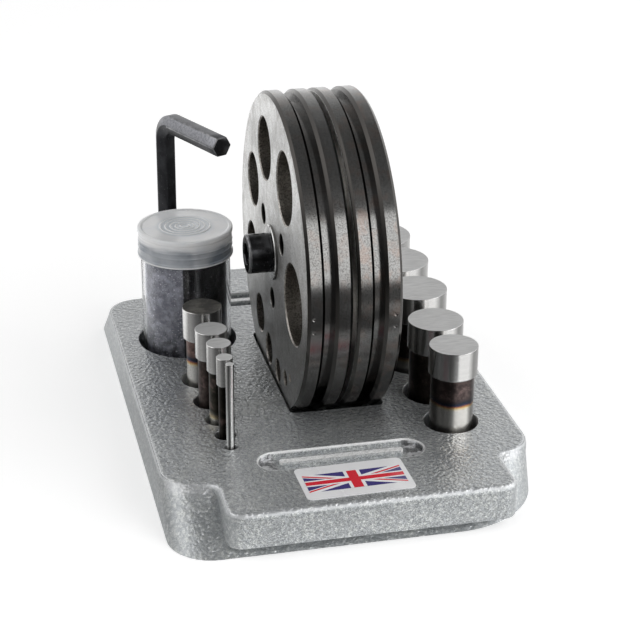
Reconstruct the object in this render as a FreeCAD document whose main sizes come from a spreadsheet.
import FreeCAD, Part
import math
import os
import Sketcher

V = FreeCAD.Vector
doc = FreeCAD.newDocument("disc_cutter")

# Driving sizes in millimetres: alias, value, what it is
SIZES = [
    ("base_half_width", 71.7, "half of the base's width"),
    ("base_top", 18.0, "height of the base's top face"),
    ("waist_half_length", 87.0, "half length of the top between the end pads"),
    ("waist_corner", 14.0, "corner radius of the top between the end pads"),
    ("pad_left_inset", 19.4, "how far the end pads' left side lies inside the base's"),
    ("pad_right_inset", 14.7, "how far the end pads' right side lies inside the base's"),
    ("pad_overhang", 25.0, "how far the end pads reach beyond the top between them"),
    ("pad_overlap", 4.0, "how far the end pads run into the plate between them"),
    ("pad_lip", 4.2, "height of the end pads' lower edge"),
    ("pad_corner", 6.0, "radius of the end pads' upright corners"),
    ("pad_flare", 5.2, "radius where the end pads run into the waist, left"),
    ("pad_flare_right", 3.5, "radius where the end pads run into the waist's corner, right"),
    ("edge_round", 2.2, "rounding of the base's top edge"),
    ("foot_overhang", 0.3, "how far the foot stands out beyond the base's sides"),
    ("foot_end_inset", 1.4, "how far the foot stays inside the end pads' ends"),
    ("foot_corner_left", 17.0, "corner radius of the foot outline, left"),
    ("foot_corner_right", 37.0, "corner radius of the foot outline, right"),
    ("skirt_top", 17.6, "height where the sloping corners meet the edge rounding"),
    ("skirt_inset_x", 0.7, "how far the slope's top lies inside the waist, sideways"),
    ("skirt_inset_y", 0.94, "how far the slope's top lies inside the waist, lengthways"),
    ("skirt_corner", 13.0, "corner radius of the slope's top"),
    ("rim_round", 0.6, "rounding of the rims of the base's holes"),
    ("hole_floor", 4.0, "height of the floor of the punch holes and jar hole"),
    ("wheel_radius", 64.5, "outer radius of both cutter discs"),
    ("disc_thickness", 17.5, "thickness of one disc"),
    ("disc_gap", 1.6, "open gap between the discs, where the sheet goes in"),
    ("front_disc_x", -12.8, "outer face of the front disc"),
    ("rim_chamfer", 1.2, "chamfer on the discs' rims"),
    ("groove_width", 4.0, "width of the finger groove at its floor"),
    ("groove_depth", 5.0, "depth of the finger groove"),
    ("die_chamfer", 0.5, "chamfer on the die holes"),
    ("punch_clearance", 0.04, "radial clearance of a punch in its die hole"),
    ("guide_pitch", 20.0, "radius of the circle the guide pins stand on"),
    ("guide_radius", 4.0, "radius of a guide pin"),
    ("guide_running", 0.05, "radial running clearance of a guide pin"),
    ("guide_recess", 7.0, "how far the guide pins stop short of the front face"),
    ("guide_back", 1.0, "how far the guide pins stop short of the rear face"),
    ("slot_clearance", 0.6, "gap between the discs and each side of the slot"),
    ("slot_end_gap", 1.9307, "gap between the discs and each end of the slot, at the base's top"),
    ("slot_floor", 6.6, "height of the slot's floor"),
    ("disc_seat_gap", 0.1, "gap between the discs and the slot's floor"),
    ("slot_corner", 2.0, "corner radius of the slot"),
    ("screw_radius", 5.0, "shank radius of the clamp screw"),
    ("screw_clear", 0.4, "radial clearance of the screw in the front disc"),
    ("screw_running", 0.05, "radial clearance of the screw's thread in the rear disc"),
    ("screw_length", 35.0, "length of the screw under its head"),
    ("screw_head_radius", 8.0, "radius of the screw's head"),
    ("screw_head_height", 9.6, "height of the screw's head"),
    ("screw_head_chamfer", 0.8, "chamfer on the head's outer edge"),
    ("socket_across_flats", 8.1, "width of the hexagon socket across its flats"),
    ("socket_depth", 5.5, "depth of the hexagon socket"),
    ("washer_radius", 11.2, "outer radius of the washer"),
    ("washer_thickness", 1.2, "thickness of the washer"),
    ("key_across_flats", 8.0, "width of the key across its flats"),
    ("key_inset", 28.2, "how far the key stands inside the base's left side"),
    ("key_end_inset", 9.0, "how far the key stands inside the rear end of the top between the pads"),
    ("key_foot", 6.5, "height of the key's lower end"),
    ("key_arm_z", 103.9, "height of the key's short arm"),
    ("key_arm_length", 44.0, "length of the key's short arm from the long arm's axis"),
    ("key_arm_angle", -66.4, "direction of the short arm, degrees from the X axis"),
    ("key_bend", 8.0, "radius of the key's bend along its axis"),
    ("key_hole_radius", 5.4, "radius of the key's hole in the base"),
    ("key_hole_floor", 6.0, "height of the key hole's floor"),
    ("jar_inset", 30.0, "how far the jar's centre lies inside the base's left side"),
    ("jar_y", 40.5, "centre of the jar, lengthways"),
    ("jar_hole_radius", 20.7, "radius of the jar's hole in the base"),
    ("jar_radius", 18.8, "outer radius of the jar"),
    ("jar_wall", 1.2, "wall thickness of the jar"),
    ("jar_bottom", 4.1, "height of the jar's underside"),
    ("jar_mouth", 67.4, "height of the jar's mouth"),
    ("lid_radius", 19.9, "outer radius of the lid"),
    ("lid_fit", 0.15, "radial gap between the lid and the jar"),
    ("lid_overlap", 9.8, "how far the lid reaches down over the jar's mouth"),
    ("lid_rise", 2.3, "height of the lid's top above the jar's mouth"),
    ("lid_wall", 1.2, "thickness of the lid's top"),
    ("filling_radius", 17.2, "radius of the filling in the jar"),
    ("filling_room", 1.0, "room between the filling and the jar's mouth"),
    ("label_x", -1.8, "centre of the label, sideways"),
    ("label_inset", 17.4, "how far the label's centre lies behind the front pad's end"),
    ("label_length", 41.2, "length of the label"),
    ("label_width", 23.2, "width of the label"),
    ("label_corner", 2.2, "corner radius of the label"),
    ("label_thickness", 0.25, "thickness of the label"),
    ("label_angle", 1.2, "how far the label is turned, degrees"),
    ("recess_x", -2.0, "centre of the oval recesses, sideways"),
    ("recess_y", 75.4, "centre of the oval recesses, lengthways"),
    ("recess_half_length", 32.0, "half length of an oval recess, ends included"),
    ("recess_radius", 6.9, "radius of an oval recess's ends"),
    ("recess_depth", 2.0, "depth of the oval recesses"),
    ("bar_half_length", 24.0, "half length of the bar in an oval recess"),
    ("bar_half_width", 1.6, "half width of the bar in an oval recess"),
]

# The ten punches: name, diameter, side of the base (1 right, -1 left), how far inside that side, y,
# top, head height, shank step, hole clearance
PUNCHES = [
    ("punch_19", 19.05, 1, 25.3, -57.9, 50.9, 12.0, 1.0, 1.0),
    ("punch_22", 22.225, 1, 24.7, -31.8, 49.9, 12.0, 1.0, 0.9),
    ("punch_25", 25.4, 1, 24.1, -1.9, 50.9, 12.0, 1.0, 0.9),
    ("punch_28", 28.575, 1, 24.5, 29.6, 50.9, 12.0, 1.0, 0.7),
    ("punch_31", 31.75, 1, 24.7, 62.8, 49.4, 12.0, 1.0, 0.7),
    ("punch_03", 3.175, -1, 29.9, -60.7, 53.0, 0.0, 0.0, 0.7),
    ("punch_06", 6.35, -1, 29.7, -50.8, 51.3, 11.8, 0.7, 0.8),
    ("punch_09", 9.525, -1, 29.9, -37.3, 50.9, 11.8, 0.8, 0.8),
    ("punch_12", 12.7, -1, 29.7, -21.4, 49.8, 12.2, 1.0, 0.8),
    ("punch_15", 15.875, -1, 29.7, -0.8, 50.4, 13.4, 1.3, 0.8),
]

# The ten die holes of the discs: diameter, pitch radius, angle from +Y towards +Z in degrees
DIES = [
    ("31", 31.75, 39.1, 189.6),
    ("28", 28.575, 41.6, 122.6),
    ("25", 25.4, 41.7, 68.4),
    ("22", 22.225, 42.2, 24.7),
    ("19", 19.05, 43.4, 343.0),
    ("15", 15.875, 44.9, 303.5),
    ("12", 12.7, 46.4, 278.6),
    ("09", 9.525, 49.0, 257.2),
    ("06", 6.35, 51.0, 241.0),
    ("03", 3.175, 52.3, 230.2),
]

sheet = doc.addObject("Spreadsheet::Sheet", "Sizes")
row = 1
for alias, value, note in SIZES:
    sheet.set("A%d" % row, note)
    sheet.set("B%d" % row, str(value))
    sheet.setAlias("B%d" % row, alias)
    row += 1
for name, dia, side, inset, py, top, head, step, clear in PUNCHES:
    for part, value in (
            ("dia", dia), ("inset", inset), ("y", py), ("top", top),
            ("head", head), ("step", step), ("clear", clear)):
        sheet.set("A%d" % row, "%s %s" % (name, part))
        sheet.set("B%d" % row, str(value))
        sheet.setAlias("B%d" % row, "%s_%s" % (name, part))
        row += 1
for name, dia, pitch, angle in DIES:
    for part, value in (("dia", dia), ("pitch", pitch), ("angle", angle)):
        sheet.set("A%d" % row, "die %s %s" % (name, part))
        sheet.set("B%d" % row, str(value))
        sheet.setAlias("B%d" % row, "die_%s_%s" % (name, part))
        row += 1
doc.recompute()


def size(alias):
    return float(sheet.get(alias))


def across_of(name, side):
    """The sideways place of a piece that stands its own inset inside the base's left or right side."""
    if side > 0:
        return "Sizes.base_half_width - Sizes.%s_inset" % name
    return "Sizes.%s_inset - Sizes.base_half_width" % name


def new_body(label):
    body = doc.addObject("PartDesign::Body", label)
    body.Label = label
    return body


def place(body, x=None, y=None, z=None):
    for axis, text in (("x", x), ("y", y), ("z", z)):
        if text is not None:
            body.setExpression(".Placement.Base." + axis, text)


def origin_plane(body, role):
    for item in body.Origin.OriginFeatures:
        if item.Role == role:
            return item
    raise ValueError(role)


def new_sketch(body, name, role="XY_Plane", lift=None):
    sketch = body.newObject("Sketcher::SketchObject", name)
    sketch.AttachmentSupport = [(origin_plane(body, role), "")]
    sketch.MapMode = "FlatFace"
    if lift is not None:
        sketch.setExpression(".AttachmentOffset.Base.z", lift)
    return sketch


def bind(sketch, name, expression):
    sketch.setExpression("Constraints." + name, expression)


def circle(sketch, name, radius, x=None, y=None):
    """Adds a circle whose radius and centre follow the sheet; radius, x and y are (value, expression)."""
    cx = x[0] if x else 0.0
    cy = y[0] if y else 0.0
    index = sketch.addGeometry(Part.Circle(V(cx, cy, 0), V(0, 0, 1), radius[0]), False)
    con = sketch.addConstraint(Sketcher.Constraint("Radius", index, radius[0]))
    sketch.renameConstraint(con, name + "_radius")
    bind(sketch, name + "_radius", radius[1])
    for kind, value, end in (("DistanceX", x, "_x"), ("DistanceY", y, "_y")):
        if value is None:
            if kind == "DistanceX":
                sketch.addConstraint(Sketcher.Constraint("DistanceX", -1, 1, index, 3, 0.0))
            else:
                sketch.addConstraint(Sketcher.Constraint("DistanceY", -1, 1, index, 3, 0.0))
            continue
        con = sketch.addConstraint(Sketcher.Constraint(kind, -1, 1, index, 3, value[0]))
        sketch.renameConstraint(con, name + end)
        bind(sketch, name + end, value[1])
    return index


def polygon(sketch, points):
    """Adds a closed outline; each point is ((x, expression or None), (y, expression or None))."""
    count = len(points)
    first = None
    for i in range(count):
        a = points[i]
        b = points[(i + 1) % count]
        line = Part.LineSegment(V(a[0][0], a[1][0], 0), V(b[0][0], b[1][0], 0))
        index = sketch.addGeometry(line, False)
        if first is None:
            first = index
    for i in range(count):
        sketch.addConstraint(Sketcher.Constraint("Coincident", first + i, 2, first + (i + 1) % count, 1))
    for i in range(count):
        for k, kind in ((0, "DistanceX"), (1, "DistanceY")):
            value, expression = points[i][k]
            con = sketch.addConstraint(Sketcher.Constraint(kind, -1, 1, first + i, 1, value))
            if expression:
                name = "p%d_%s" % (first + i, "xy"[k])
                sketch.renameConstraint(con, name)
                bind(sketch, name, expression)


def rounded_rectangle(sketch, left, right, low, high, radii):
    """Adds a rectangle with four corner radii: low left, low right, high right, high left."""
    x0, x1, y0, y1 = left[0], right[0], low[0], high[0]
    r = [item[0] for item in radii]
    corners = [(x0, y0), (x1, y0), (x1, y1), (x0, y1)]
    centres = [
        (x0 + r[0], y0 + r[0]), (x1 - r[1], y0 + r[1]),
        (x1 - r[2], y1 - r[2]), (x0 + r[3], y1 - r[3])]
    starts = [180.0, 270.0, 0.0, 90.0]
    lines = []
    arcs = []
    ends = [
        ((x0 + r[0], y0), (x1 - r[1], y0)), ((x1, y0 + r[1]), (x1, y1 - r[2])),
        ((x1 - r[2], y1), (x0 + r[3], y1)), ((x0, y1 - r[3]), (x0, y0 + r[0]))]
    for k in range(4):
        a0 = math.radians(starts[k])
        ring = Part.Circle(V(centres[k][0], centres[k][1], 0), V(0, 0, 1), r[k])
        arc = Part.ArcOfCircle(ring, a0, a0 + math.pi / 2)
        arcs.append(sketch.addGeometry(arc, False))
        a, b = ends[k]
        lines.append(sketch.addGeometry(Part.LineSegment(V(a[0], a[1], 0), V(b[0], b[1], 0)), False))
    for k in range(4):
        sketch.addConstraint(Sketcher.Constraint("Tangent", arcs[k], 2, lines[k], 1))
        sketch.addConstraint(Sketcher.Constraint("Tangent", lines[k], 2, arcs[(k + 1) % 4], 1))
    sketch.addConstraint(Sketcher.Constraint("Horizontal", lines[0]))
    sketch.addConstraint(Sketcher.Constraint("Vertical", lines[1]))
    sketch.addConstraint(Sketcher.Constraint("Horizontal", lines[2]))
    sketch.addConstraint(Sketcher.Constraint("Vertical", lines[3]))
    jobs = [
        ("DistanceY", lines[0], low, "low"), ("DistanceX", lines[1], right, "right"),
        ("DistanceY", lines[2], high, "high"), ("DistanceX", lines[3], left, "left")]
    for kind, line, value, name in jobs:
        con = sketch.addConstraint(Sketcher.Constraint(kind, -1, 1, line, 1, value[0]))
        sketch.renameConstraint(con, name)
        bind(sketch, name, value[1])
    for k in range(4):
        con = sketch.addConstraint(Sketcher.Constraint("Radius", arcs[k], r[k]))
        sketch.renameConstraint(con, "corner_%d" % k)
        bind(sketch, "corner_%d" % k, radii[k][1])


def pad(body, sketch, name, expression, reverse=False):
    item = body.newObject("PartDesign::Pad", name)
    item.Profile = sketch
    item.Length = 1.0
    item.Reversed = reverse
    item.setExpression("Length", expression)
    sketch.Visibility = False
    doc.recompute()
    return item


def pocket(body, sketch, name, expression, reverse=False):
    before = body.Tip.Shape.Volume
    item = body.newObject("PartDesign::Pocket", name)
    item.Profile = sketch
    item.Length = 1.0
    item.Reversed = reverse
    item.setExpression("Length", expression)
    sketch.Visibility = False
    doc.recompute()
    if item.Shape.isNull() or before - item.Shape.Volume < 1e-3:
        raise ValueError("no material taken away by " + name)
    return item


def dress(body, kind, name, pick, expression):
    """Rounds or chamfers the edges that pick accepts."""
    base = body.Tip
    names = []
    for number, edge in enumerate(base.Shape.Edges, 1):
        if pick(edge):
            names.append("Edge%d" % number)
    if not names:
        raise ValueError("no edges for " + name)
    item = body.newObject("PartDesign::" + kind, name)
    item.Base = (base, names)
    if kind == "Fillet":
        item.Radius = 0.5
        item.setExpression("Radius", expression)
    else:
        item.Size = 0.5
        item.setExpression("Size", expression)
    doc.recompute()
    if not item.Shape.isValid() or item.Shape.Volume <= 0:
        raise ValueError("bad shape after " + name)
    return item


def is_upright(edge):
    if not isinstance(edge.Curve, Part.Line):
        return False
    return abs(edge.tangentAt(edge.FirstParameter).z) > 0.999


def is_round(edge):
    return isinstance(edge.Curve, Part.Circle)


def at_height(edge, z):
    box = edge.BoundBox
    return abs(box.ZMin - z) < 1e-4 and abs(box.ZMax - z) < 1e-4


# The base casting: a plate with sloping corners, an end pad at front and back, and holes for every piece
S = "Sizes."
base = new_body("base_casting")
plan = new_sketch(base, "waist_plan")
bw = size("base_half_width")
wl = size("waist_half_length")
polygon(plan, [
    ((-bw, "-" + S + "base_half_width"), (-wl, "-" + S + "waist_half_length")),
    ((bw, S + "base_half_width"), (-wl, "-" + S + "waist_half_length")),
    ((bw, S + "base_half_width"), (wl, S + "waist_half_length")),
    ((-bw, "-" + S + "base_half_width"), (wl, S + "waist_half_length"))])
pad(base, plan, "waist", S + "base_top")
pads = new_sketch(base, "end_pad_plan", lift=S + "pad_lip")
pl = bw - size("pad_left_inset")
pr = bw - size("pad_right_inset")
reach = wl + size("pad_overhang")
lap = size("pad_overlap")
pc = size("pad_corner")
pf = size("pad_flare")
qf = size("pad_flare_right")
wc = size("waist_corner")
across = pr + qf - (bw - wc)
along = math.sqrt((wc + qf) ** 2 - across ** 2)
flare_y = -(wl - wc) - along
touch_x = bw - wc + across * wc / (wc + qf)
touch_y = -(wl - wc) - along * wc / (wc + qf)
across_text = "(Sizes.pad_flare_right - Sizes.pad_right_inset + Sizes.waist_corner)"
sum_text = "(Sizes.waist_corner + Sizes.pad_flare_right)"
along_text = "sqrt(%s ^ 2 - %s ^ 2)" % (sum_text, across_text)
share_text = "Sizes.waist_corner / " + sum_text
touch_x_text = "Sizes.base_half_width - Sizes.waist_corner + %s * %s" % (across_text, share_text)
touch_y_text = "Sizes.waist_corner - Sizes.waist_half_length - %s * %s" % (along_text, share_text)


def arc_of(sketch, x, y, radius, start, stop):
    ring = Part.Circle(V(x, y, 0), V(0, 0, 1), radius)
    return sketch.addGeometry(Part.ArcOfCircle(ring, math.radians(start), math.radians(stop)), False)


def line_of(sketch, x0, y0, x1, y1):
    return sketch.addGeometry(Part.LineSegment(V(x0, y0, 0), V(x1, y1, 0)), False)


flare_left = arc_of(pads, -pl - pf, -wl - pf, pf, 0, 90)
side_left = line_of(pads, -pl, -wl - pf, -pl, -reach + pc)
corner_left = arc_of(pads, -pl + pc, -reach + pc, pc, 180, 270)
front_line = line_of(pads, -pl + pc, -reach, pr - pc, -reach)
corner_right = arc_of(pads, pr - pc, -reach + pc, pc, 270, 360)
side_right = line_of(pads, pr, -reach + pc, pr, flare_y)
touch_angle = math.degrees(math.atan2(touch_y - flare_y, touch_x - pr - qf))
flare_right = arc_of(pads, pr + qf, flare_y, qf, touch_angle, 180)
close_right = line_of(pads, touch_x, touch_y, touch_x, -wl + lap)
close_inner = line_of(pads, touch_x, -wl + lap, -pl - pf, -wl + lap)
close_left = line_of(pads, -pl - pf, -wl + lap, -pl - pf, -wl)
for a, a_end, b, b_end in (
        (flare_left, 1, side_left, 1), (side_left, 2, corner_left, 1), (corner_left, 2, front_line, 1),
        (front_line, 2, corner_right, 1), (corner_right, 2, side_right, 1), (side_right, 2, flare_right, 2)):
    pads.addConstraint(Sketcher.Constraint("Tangent", a, a_end, b, b_end))
for a, a_end, b, b_end in (
        (flare_right, 1, close_right, 1), (close_right, 2, close_inner, 1),
        (close_inner, 2, close_left, 1), (close_left, 2, flare_left, 2)):
    pads.addConstraint(Sketcher.Constraint("Coincident", a, a_end, b, b_end))
for item in (side_left, side_right, close_left, close_right):
    pads.addConstraint(Sketcher.Constraint("Vertical", item))
for item in (front_line, close_inner):
    pads.addConstraint(Sketcher.Constraint("Horizontal", item))
for name, item, value, text in (
        ("flare_left", flare_left, pf, "pad_flare"), ("flare_right", flare_right, qf, "pad_flare_right"),
        ("corner_left", corner_left, pc, "pad_corner"), ("corner_right", corner_right, pc, "pad_corner")):
    con = pads.addConstraint(Sketcher.Constraint("Radius", item, value))
    pads.renameConstraint(con, name)
    bind(pads, name, S + text)
for name, kind, item, item_end, value, text in (
        ("left", "DistanceX", side_left, 1, -pl, S + "pad_left_inset - " + S + "base_half_width"),
        ("right", "DistanceX", side_right, 1, pr, S + "base_half_width - " + S + "pad_right_inset"),
        ("reach", "DistanceY", front_line, 1, -reach, "-(" + S + "waist_half_length + " + S + "pad_overhang)"),
        ("inner", "DistanceY", close_inner, 1, -wl + lap, S + "pad_overlap - " + S + "waist_half_length"),
        ("flare_left_x", "DistanceX", flare_left, 2, -pl - pf,
         S + "pad_left_inset - " + S + "base_half_width - " + S + "pad_flare"),
        ("flare_left_y", "DistanceY", flare_left, 2, -wl, "-" + S + "waist_half_length"),
        ("flare_right_x", "DistanceX", flare_right, 1, touch_x, touch_x_text),
        ("flare_right_y", "DistanceY", flare_right, 1, touch_y, touch_y_text)):
    con = pads.addConstraint(Sketcher.Constraint(kind, -1, 1, item, item_end, value))
    pads.renameConstraint(con, name)
    bind(pads, name, text)
front_pad = pad(base, pads, "front_pad", S + "base_top - " + S + "pad_lip")
rear_pad = base.newObject("PartDesign::Mirrored", "rear_pad")
rear_pad.Originals = [front_pad]
rear_pad.MirrorPlane = (origin_plane(base, "XZ_Plane"), [""])
base.Tip = rear_pad
doc.recompute()


def outer_corner(edge):
    box = edge.BoundBox
    return is_upright(edge) and abs(abs(box.XMin) - bw) < 1e-3


dress(base, "Fillet", "waist_corners", outer_corner, S + "waist_corner")
top = size("base_top")
dress(base, "Fillet", "top_edge", lambda edge: at_height(edge, top), S + "edge_round")

foot = new_sketch(base, "foot_outline")
fw = bw + size("foot_overhang")
fl = reach - size("foot_end_inset")
wide = S + "base_half_width + " + S + "foot_overhang"
long = S + "waist_half_length + " + S + "pad_overhang - " + S + "foot_end_inset"
cl = size("foot_corner_left")
cr = size("foot_corner_right")
rounded_rectangle(
    foot, (-fw, "-(" + wide + ")"), (fw, wide),
    (-fl, "-(" + long + ")"), (fl, long),
    [(cl, S + "foot_corner_left"), (cr, S + "foot_corner_right"),
     (cr, S + "foot_corner_right"), (cl, S + "foot_corner_left")])
brow = new_sketch(base, "slope_top_outline", lift=S + "skirt_top")
ix = bw - size("skirt_inset_x")
iy = wl - size("skirt_inset_y")
sc = size("skirt_corner")
side = S + "base_half_width - " + S + "skirt_inset_x"
end = S + "waist_half_length - " + S + "skirt_inset_y"
rounded_rectangle(
    brow, (-ix, "-(" + side + ")"), (ix, side), (-iy, "-(" + end + ")"), (iy, end),
    [(sc, S + "skirt_corner")] * 4)
skirt = base.newObject("PartDesign::AdditiveLoft", "sloping_skirt")
skirt.Profile = foot
skirt.Sections = [brow]
skirt.Ruled = True
skirt.Closed = False
foot.Visibility = False
brow.Visibility = False
doc.recompute()
if skirt.Shape.isNull() or not skirt.Shape.isValid():
    raise ValueError("skirt")

slot = new_sketch(base, "disc_slot", lift=S + "base_top")
gap = size("slot_clearance")
x_front = size("front_disc_x") - gap
x_rear = size("front_disc_x") + 2 * size("disc_thickness") + size("disc_gap") + gap
wheel_r = size("wheel_radius")
over_top = size("slot_floor") + size("disc_seat_gap") + wheel_r - top
sl = math.sqrt(wheel_r ** 2 - over_top ** 2) + size("slot_end_gap")
centre_z = S + "slot_floor + " + S + "disc_seat_gap + " + S + "wheel_radius"
half_chord = "sqrt(" + S + "wheel_radius ^ 2 - (" + centre_z + " - " + S + "base_top) ^ 2)"
end_text = half_chord + " + " + S + "slot_end_gap"
rear_text = S + "front_disc_x + 2 * " + S + "disc_thickness + " + S + "disc_gap + " + S + "slot_clearance"
rounded_rectangle(
    slot, (x_front, S + "front_disc_x - " + S + "slot_clearance"), (x_rear, rear_text),
    (-sl, "-(" + end_text + ")"), (sl, end_text),
    [(size("slot_corner"), S + "slot_corner")] * 4)
pocket(base, slot, "slot_for_discs", S + "base_top - " + S + "slot_floor")

holes = new_sketch(base, "punch_holes", lift=S + "base_top")
for name, dia, side, inset, py, ptop, head, step, clear in PUNCHES:
    q = S + name
    hx = side * (bw - inset)
    hole_text = q + "_dia / 2 + " + q + "_clear"
    circle(holes, name, (dia / 2 + clear, hole_text), (hx, across_of(name, side)), (py, q + "_y"))
circle(
    holes, "jar", (size("jar_hole_radius"), S + "jar_hole_radius"),
    (size("jar_inset") - bw, across_of("jar", -1)), (size("jar_y"), S + "jar_y"))
pocket(base, holes, "holes_for_punches_and_jar", S + "base_top - " + S + "hole_floor")
key_y = S + "waist_half_length - " + S + "key_end_inset"
key_hole = new_sketch(base, "key_hole", lift=S + "base_top")
circle(
    key_hole, "key", (size("key_hole_radius"), S + "key_hole_radius"),
    (size("key_inset") - bw, across_of("key", -1)), (wl - size("key_end_inset"), key_y))
pocket(base, key_hole, "hole_for_key", S + "base_top - " + S + "key_hole_floor")

rx = size("recess_x")
ry = size("recess_y")
rh = size("recess_half_length")
rr = size("recess_radius")
for sign, word in ((-1, "front"), (1, "rear")):
    minus = "-" if sign < 0 else ""
    recess = new_sketch(base, word + "_recess_outline", lift=S + "base_top")
    centre_text = minus + S + "recess_y"
    low_text = centre_text + " - " + S + "recess_radius"
    high_text = centre_text + " + " + S + "recess_radius"
    rounded_rectangle(
        recess, (rx - rh, S + "recess_x - " + S + "recess_half_length"),
        (rx + rh, S + "recess_x + " + S + "recess_half_length"),
        (sign * ry - rr, low_text), (sign * ry + rr, high_text),
        [(rr - 0.01, S + "recess_radius - 0.01")] * 4)
    pocket(base, recess, word + "_recess", S + "recess_depth")


def hole_rim(edge):
    if not at_height(edge, top):
        return False
    box = edge.BoundBox
    return abs(box.XMin) < bw - 6 and abs(box.YMin) < wl - 1.2 and abs(box.XMax) < bw - 6


dress(base, "Fillet", "hole_rims", hole_rim, S + "rim_round")
bh = size("bar_half_length")
bq = size("bar_half_width")
for sign, word in ((-1, "front"), (1, "rear")):
    minus = "-" if sign < 0 else ""
    bar = new_sketch(base, word + "_bar_outline", lift=S + "base_top - " + S + "recess_depth - 0.5")
    centre_text = minus + S + "recess_y"
    rounded_rectangle(
        bar, (rx - bh, S + "recess_x - " + S + "bar_half_length"),
        (rx + bh, S + "recess_x + " + S + "bar_half_length"),
        (sign * ry - bq, centre_text + " - " + S + "bar_half_width"),
        (sign * ry + bq, centre_text + " + " + S + "bar_half_width"),
        [(bq - 0.1, S + "bar_half_width - 0.1")] * 4)
    pad(base, bar, word + "_bar", S + "recess_depth + 0.2")

# The label on the front pad
label = new_body("flag_label")
outline = new_sketch(label, "label_outline")
ll = size("label_length") / 2
lw = size("label_width") / 2
rounded_rectangle(
    outline, (-ll, "-" + S + "label_length / 2"), (ll, S + "label_length / 2"),
    (-lw, "-" + S + "label_width / 2"), (lw, S + "label_width / 2"),
    [(size("label_corner"), S + "label_corner")] * 4)
pad(label, outline, "label_sheet", S + "label_thickness")
label.Placement = FreeCAD.Placement(V(0, 0, 0), FreeCAD.Rotation(V(0, 0, 1), size("label_angle")))
label_y = S + "label_inset - " + S + "waist_half_length - " + S + "pad_overhang"
place(label, S + "label_x", label_y, S + "base_top")
label.setExpression(".Placement.Rotation.Angle", S + "label_angle")


def make_disc(name, x_text, centre_radius, guide_radius):
    """Builds one cutter disc on the YZ plane, its outer face at x = 0 and its thickness along +X."""
    disc = new_body(name)
    rim = new_sketch(disc, name + "_rim", "YZ_Plane")
    circle(rim, "rim", (size("wheel_radius"), S + "wheel_radius"))
    pad(disc, rim, name + "_plate", S + "disc_thickness")
    t = size("disc_thickness")
    r = size("wheel_radius")
    gw = size("groove_width") / 2
    gd = size("groove_depth")
    cut = new_sketch(disc, name + "_groove_outline", "XZ_Plane")
    mid = S + "disc_thickness / 2"
    half = S + "groove_width / 2"
    floor = S + "wheel_radius - " + S + "groove_depth"
    over = S + "wheel_radius + 2"
    polygon(cut, [
        ((t / 2 - gw, mid + " - " + half), (r - gd, floor)),
        ((t / 2 + gw, mid + " + " + half), (r - gd, floor)),
        ((t / 2 + gw, mid + " + " + half), (r + 2, over)),
        ((t / 2 - gw, mid + " - " + half), (r + 2, over))])
    before = disc.Tip.Shape.Volume
    groove = disc.newObject("PartDesign::Groove", name + "_groove")
    groove.Profile = cut
    groove.ReferenceAxis = (cut, ["H_Axis"])
    groove.Angle = 360.0
    cut.Visibility = False
    doc.recompute()
    if before - groove.Shape.Volume < 100:
        raise ValueError("groove")
    dies = new_sketch(disc, name + "_die_holes", "YZ_Plane")
    gap_text = S + "punch_clearance"
    for tag, dia, pitch, angle in DIES:
        q = S + "die_" + tag
        y = pitch * math.cos(math.radians(angle))
        z = pitch * math.sin(math.radians(angle))
        y_text = q + "_pitch * cos(" + q + "_angle * 1 deg)"
        z_text = q + "_pitch * sin(" + q + "_angle * 1 deg)"
        bore = (dia / 2 + size("punch_clearance"), q + "_dia / 2 + " + gap_text)
        circle(dies, "die" + tag, bore, (y, y_text), (z, z_text))
    circle(dies, "centre", (centre_radius[0], centre_radius[1]))
    for k, angle in enumerate((30, 150, 270)):
        p = size("guide_pitch")
        y = p * math.cos(math.radians(angle))
        z = p * math.sin(math.radians(angle))
        y_text = S + "guide_pitch * cos(%d deg)" % angle
        z_text = S + "guide_pitch * sin(%d deg)" % angle
        if abs(y) < 1e-9:
            circle(dies, "guide%d" % k, guide_radius, None, (z, z_text))
        else:
            circle(dies, "guide%d" % k, guide_radius, (y, y_text), (z, z_text))
    pocket(disc, dies, name + "_holes", S + "disc_thickness", reverse=True)

    def rim_edge(edge):
        return isinstance(edge.Curve, Part.Circle) and abs(edge.Curve.Radius - r) < 1e-4

    def hole_edge(edge):
        return isinstance(edge.Curve, Part.Circle) and edge.Curve.Radius < r / 2

    dress(disc, "Chamfer", name + "_rim_chamfers", rim_edge, S + "rim_chamfer")
    dress(disc, "Chamfer", name + "_hole_chamfers", hole_edge, S + "die_chamfer")
    place(disc, x_text, None, centre_z)
    return disc


screw_r = size("screw_radius")
guide_r = size("guide_radius")
rear_x_text = S + "front_disc_x + " + S + "disc_thickness + " + S + "disc_gap"
make_disc(
    "front_disc", S + "front_disc_x",
    (screw_r + size("screw_clear"), S + "screw_radius + " + S + "screw_clear"),
    (guide_r + size("guide_running"), S + "guide_radius + " + S + "guide_running"))
make_disc(
    "rear_disc", rear_x_text,
    (screw_r + size("screw_running"), S + "screw_radius + " + S + "screw_running"),
    (guide_r, S + "guide_radius"))

# Three guide pins fixed in the rear disc that slide in the front disc
pin_length = S + "disc_thickness * 2 + " + S + "disc_gap - " + S + "guide_recess - " + S + "guide_back"
for k, angle in enumerate((30, 150, 270)):
    pin = new_body("guide_pin_%d" % (k + 1))
    ring = new_sketch(pin, "pin_%d_section" % (k + 1), "YZ_Plane")
    circle(ring, "pin", (guide_r, S + "guide_radius"))
    pad(pin, ring, "pin_%d_rod" % (k + 1), pin_length)
    dress(pin, "Chamfer", "pin_%d_ends" % (k + 1), is_round, S + "die_chamfer")
    place(
        pin, S + "front_disc_x + " + S + "guide_recess", S + "guide_pitch * cos(%d deg)" % angle,
        centre_z + " + " + S + "guide_pitch * sin(%d deg)" % angle)

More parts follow.
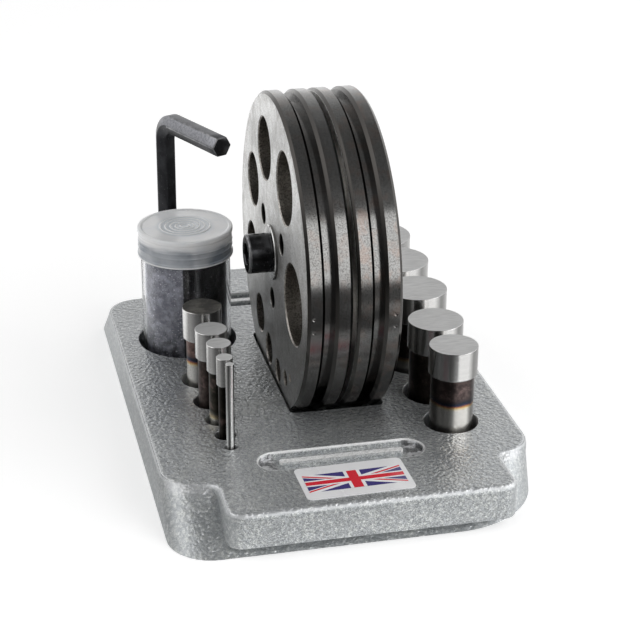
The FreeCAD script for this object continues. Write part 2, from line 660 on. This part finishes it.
# The clamp screw along X: its head's underside is at x = 0
screw = new_body("clamp_screw")
profile = new_sketch(screw, "screw_profile", "XZ_Plane")
hh = size("screw_head_height")
hr = size("screw_head_radius")
hc = size("screw_head_chamfer")
slen = size("screw_length")
polygon(profile, [
    ((-hh, "-" + S + "screw_head_height"), (0.0, None)),
    ((slen, S + "screw_length"), (0.0, None)),
    ((slen, S + "screw_length"), (screw_r - hc, S + "screw_radius - " + S + "screw_head_chamfer")),
    ((slen - hc, S + "screw_length - " + S + "screw_head_chamfer"), (screw_r, S + "screw_radius")),
    ((0.0, None), (screw_r, S + "screw_radius")),
    ((0.0, None), (hr, S + "screw_head_radius")),
    ((-hh + hc, S + "screw_head_chamfer - " + S + "screw_head_height"), (hr, S + "screw_head_radius")),
    ((-hh, "-" + S + "screw_head_height"), (hr - hc, S + "screw_head_radius - " + S + "screw_head_chamfer"))])
turned = screw.newObject("PartDesign::Revolution", "screw_turned")
turned.Profile = profile
turned.ReferenceAxis = (profile, ["H_Axis"])
turned.Angle = 360.0
profile.Visibility = False
doc.recompute()


def hexagon(sketch, flats, expression, turn_degrees=0.0):
    """Adds a hexagon round the origin; turn_degrees is where its first corner lies."""
    corner = flats / math.sqrt(3.0)
    points = []
    for k in range(6):
        a = turn_degrees + 60 * k
        x = corner * math.cos(math.radians(a))
        y = corner * math.sin(math.radians(a))
        x_text = "%s / sqrt(3) * cos(%g deg)" % (expression, a)
        y_text = "%s / sqrt(3) * sin(%g deg)" % (expression, a)
        points.append(((x, x_text if abs(x) > 1e-9 else None), (y, y_text if abs(y) > 1e-9 else None)))
    polygon(sketch, points)


socket = new_sketch(screw, "socket_outline", "YZ_Plane", lift="-" + S + "screw_head_height")
hexagon(socket, size("socket_across_flats"), S + "socket_across_flats", 10.0)
pocket(screw, socket, "hexagon_socket", S + "socket_depth", reverse=True)
place(screw, S + "front_disc_x - " + S + "washer_thickness", None, centre_z)

# The washer under the screw's head
washer = new_body("clamp_washer")
ring = new_sketch(washer, "washer_ring", "YZ_Plane")
circle(ring, "outer", (size("washer_radius"), S + "washer_radius"))
circle(ring, "inner", (screw_r + size("screw_clear"), S + "screw_radius + " + S + "screw_clear"))
pad(washer, ring, "washer_plate", S + "washer_thickness")
dress(
    washer, "Chamfer", "washer_edge",
    lambda edge: isinstance(edge.Curve, Part.Circle) and edge.Curve.Radius > 8 and edge.BoundBox.XMax < 0.01,
    S + "washer_thickness / 4")
place(washer, S + "front_disc_x - " + S + "washer_thickness", None, centre_z)

# The ten punches: a ground head on a slightly thinner shank, each turned about its own axis
for name, dia, side, inset, py, ptop, head, step, clear in PUNCHES:
    punch = new_body(name)
    outline = new_sketch(punch, name + "_profile", "XZ_Plane")
    q = S + name
    r = dia / 2
    length = ptop - size("hole_floor") - 0.05
    long_text = q + "_top - " + S + "hole_floor - 0.05"
    edge = min(0.4, dia * 0.06)
    if head > 0:
        polygon(outline, [
            ((0.0, None), (0.0, None)),
            ((r - step - edge, q + "_dia / 2 - " + q + "_step - %g" % edge), (0.0, None)),
            ((r - step, q + "_dia / 2 - " + q + "_step"), (edge, "%g" % edge)),
            ((r - step, q + "_dia / 2 - " + q + "_step"), (length - head, long_text + " - " + q + "_head")),
            ((r - 0.15, q + "_dia / 2 - 0.15"), (length - head + 0.35, long_text + " - " + q + "_head + 0.35")),
            ((r, q + "_dia / 2"), (length - head + 0.7, long_text + " - " + q + "_head + 0.7")),
            ((r, q + "_dia / 2"), (length - 0.12, long_text + " - 0.12")),
            ((r - 0.12, q + "_dia / 2 - 0.12"), (length, long_text)),
            ((0.0, None), (length, long_text))])
    else:
        polygon(outline, [
            ((0.0, None), (0.0, None)),
            ((r - edge, q + "_dia / 2 - %g" % edge), (0.0, None)),
            ((r, q + "_dia / 2"), (edge, "%g" % edge)),
            ((r, q + "_dia / 2"), (length - 0.1, long_text + " - 0.1")),
            ((r - 0.1, q + "_dia / 2 - 0.1"), (length, long_text)),
            ((0.0, None), (length, long_text))])
    turned = punch.newObject("PartDesign::Revolution", name + "_turned")
    turned.Profile = outline
    turned.ReferenceAxis = (outline, ["V_Axis"])
    turned.Angle = 360.0
    outline.Visibility = False
    doc.recompute()
    place(punch, across_of(name, side), q + "_y", S + "hole_floor + 0.05")

# The hexagon key: the long arm stands along +Z, the short arm runs along the body's own +X
key = new_body("hex_key")
section = new_sketch(key, "key_section")
hexagon(section, size("key_across_flats"), S + "key_across_flats", 30.0)
path = new_sketch(key, "key_path", "XZ_Plane")
rise = size("key_arm_z") - size("key_foot")
bend = size("key_bend")
arm = size("key_arm_length")
upright = path.addGeometry(Part.LineSegment(V(0, 0, 0), V(0, rise - bend, 0)), False)
corner = path.addGeometry(
    Part.ArcOfCircle(Part.Circle(V(bend, rise - bend, 0), V(0, 0, 1), bend), math.pi / 2, math.pi), False)
level = path.addGeometry(Part.LineSegment(V(bend, rise, 0), V(arm, rise, 0)), False)
path.addConstraint(Sketcher.Constraint("Coincident", upright, 1, -1, 1))
path.addConstraint(Sketcher.Constraint("Vertical", upright))
path.addConstraint(Sketcher.Constraint("Tangent", upright, 2, corner, 2))
path.addConstraint(Sketcher.Constraint("Tangent", corner, 1, level, 1))
path.addConstraint(Sketcher.Constraint("Horizontal", level))
for kind, geo, pos, value, name, text in (
        ("DistanceY", level, 2, rise, "rise", S + "key_arm_z - " + S + "key_foot"),
        ("DistanceX", level, 2, arm, "arm", S + "key_arm_length")):
    con = path.addConstraint(Sketcher.Constraint(kind, -1, 1, geo, pos, value))
    path.renameConstraint(con, name)
    bind(path, name, text)
con = path.addConstraint(Sketcher.Constraint("Radius", corner, bend))
path.renameConstraint(con, "bend")
bind(path, "bend", S + "key_bend")
sweep = key.newObject("PartDesign::AdditivePipe", "key_bar")
sweep.Profile = section
sweep.Spine = (path, ["Edge1", "Edge2", "Edge3"])
section.Visibility = False
path.Visibility = False
doc.recompute()


def key_end(edge):
    box = edge.BoundBox
    low_end = abs(box.ZMax) < 1e-3
    arm_end = abs(box.XMin - arm) < 1e-3
    return low_end or arm_end


dress(key, "Chamfer", "key_ends", key_end, S + "rim_round * 0.6")
key.Placement = FreeCAD.Placement(V(0, 0, 0), FreeCAD.Rotation(V(0, 0, 1), size("key_arm_angle")))
place(key, across_of("key", -1), key_y, S + "key_foot")
key.setExpression(".Placement.Rotation.Angle", S + "key_arm_angle")


def turned_body(label, points, z_text, x_text, y_text):
    """Builds a body by turning an outline in the XZ plane about Z."""
    item = new_body(label)
    outline = new_sketch(item, label + "_profile", "XZ_Plane")
    polygon(outline, points)
    turned = item.newObject("PartDesign::Revolution", label + "_turned")
    turned.Profile = outline
    turned.ReferenceAxis = (outline, ["V_Axis"])
    turned.Angle = 360.0
    outline.Visibility = False
    doc.recompute()
    place(item, x_text, y_text, z_text)
    return item


# The jar, its filling and its lid
jr = size("jar_radius")
jw = size("jar_wall")
jh = size("jar_mouth") - size("jar_bottom")
jh_text = S + "jar_mouth - " + S + "jar_bottom"
turned_body("jar_body", [
    ((0.0, None), (0.0, None)),
    ((jr - 1.0, S + "jar_radius - 1"), (0.0, None)),
    ((jr, S + "jar_radius"), (1.0, None)),
    ((jr, S + "jar_radius"), (jh, jh_text)),
    ((jr - jw, S + "jar_radius - " + S + "jar_wall"), (jh, jh_text)),
    ((jr - jw, S + "jar_radius - " + S + "jar_wall"), (jw, S + "jar_wall")),
    ((0.0, None), (jw, S + "jar_wall"))],
    S + "jar_bottom", across_of("jar", -1), S + "jar_y")
fr = size("filling_radius")
fh = jh - size("filling_room") - jw - 0.1
fh_text = jh_text + " - " + S + "filling_room - " + S + "jar_wall - 0.1"
turned_body("jar_filling", [
    ((0.0, None), (0.0, None)),
    ((fr, S + "filling_radius"), (0.0, None)),
    ((fr, S + "filling_radius"), (fh - 1.0, fh_text + " - 1")),
    ((fr - 1.0, S + "filling_radius - 1"), (fh, fh_text)),
    ((0.0, None), (fh, fh_text))],
    S + "jar_bottom + " + S + "jar_wall + 0.1", across_of("jar", -1), S + "jar_y")
lr = size("lid_radius")
lh = size("lid_rise") + size("lid_overlap")
lh_text = S + "lid_rise + " + S + "lid_overlap"
inner = jr + size("lid_fit")
inner_text = S + "jar_radius + " + S + "lid_fit"
lt = size("lid_wall")
points = [
    ((inner, inner_text), (0.0, None)),
    ((lr + 0.2, S + "lid_radius + 0.2"), (0.0, None)),
    ((lr + 0.2, S + "lid_radius + 0.2"), (1.2, None)),
    ((lr - 0.2, S + "lid_radius - 0.2"), (1.5, None)),
    ((lr - 0.2, S + "lid_radius - 0.2"), (lh - 2.0, lh_text + " - 2")),
    ((lr, S + "lid_radius"), (lh - 1.6, lh_text + " - 1.6")),
    ((lr, S + "lid_radius"), (lh - 0.6, lh_text + " - 0.6")),
    ((lr - 0.6, S + "lid_radius - 0.6"), (lh, lh_text)),
    ((lr - 1.6, S + "lid_radius - 1.6"), (lh, lh_text)),
    ((lr - 2.0, S + "lid_radius - 2"), (lh - 0.4, lh_text + " - 0.4"))]
for ring_radius in (10.5, 8.3, 6.1, 3.9, 1.9):
    points.append(((ring_radius + 0.5, None), (lh - 0.4, lh_text + " - 0.4")))
    points.append(((ring_radius + 0.3, None), (lh - 0.1, lh_text + " - 0.1")))
    points.append(((ring_radius - 0.3, None), (lh - 0.1, lh_text + " - 0.1")))
    points.append(((ring_radius - 0.5, None), (lh - 0.4, lh_text + " - 0.4")))
points.append(((0.0, None), (lh - 0.4, lh_text + " - 0.4")))
points.append(((0.0, None), (lh - lt - 0.4, lh_text + " - " + S + "lid_wall - 0.4")))
points.append(((inner, inner_text), (lh - lt - 0.4, lh_text + " - " + S + "lid_wall - 0.4")))
turned_body("jar_lid", points, S + "jar_mouth - " + S + "lid_overlap", across_of("jar", -1), S + "jar_y")

doc.recompute()
bodies = [item for item in doc.Objects if item.TypeId == "PartDesign::Body"]
for item in doc.Objects:
    if "Invalid" in item.State or "Error" in item.State:
        raise ValueError("bad state: " + item.Label)
os.makedirs("parts", exist_ok=True)
for body in bodies:
    shape = body.Shape
    if shape.isNull() or not shape.isValid() or shape.Volume <= 0:
        raise ValueError("bad shape: " + body.Label)
    if len(shape.Solids) != 1:
        raise ValueError("not one solid: " + body.Label)
    box = shape.BoundBox
    print("%-14s vol %9.1f  x %7.2f %7.2f  y %7.2f %7.2f  z %6.2f %6.2f" % (
        body.Label, shape.Volume, box.XMin, box.XMax, box.YMin, box.YMax, box.ZMin, box.ZMax))
    shape.exportStep("parts/" + body.Label + ".step")
